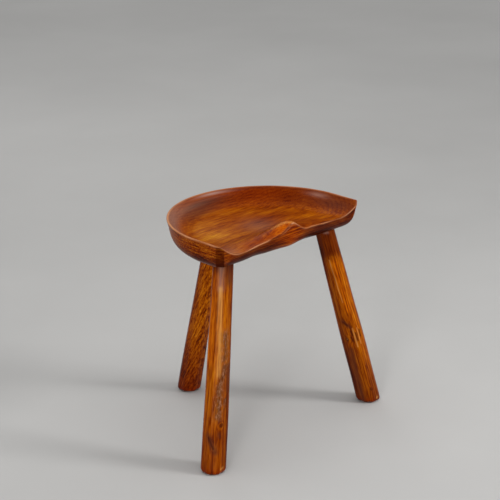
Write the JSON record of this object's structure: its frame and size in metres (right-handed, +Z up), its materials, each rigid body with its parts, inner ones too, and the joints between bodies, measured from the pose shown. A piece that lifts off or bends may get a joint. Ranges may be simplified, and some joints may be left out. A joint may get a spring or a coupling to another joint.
{
  "type": "stool",
  "caption": "Low carved wooden stool with a dished D-shaped saddle seat, a raised front pommel and splayed tapering legs.",
  "frame": {"origin": "on the floor, under the middle of the stool's outline", "axes": "+Z up, +X along the seat's width to the sitter's left, -Y towards the straight front edge with the pommel"},
  "size_m": [0.5111, 0.362, 0.4525],
  "materials": {
    "seat_wood": "glossy amber-brown lacquer",
    "leg_wood": "glossy amber-orange lacquer",
    "wedge_wood": "bare hardwood"
  },
  "bodies": {
    "root": {"seat": "seat_wood", "leg_front_left": "leg_wood", "leg_front_right": "leg_wood", "leg_rear": "leg_wood", "wedge_front_left": "wedge_wood", "wedge_front_right": "wedge_wood", "wedge_rear": "wedge_wood"}
  },
  "joints": []
}
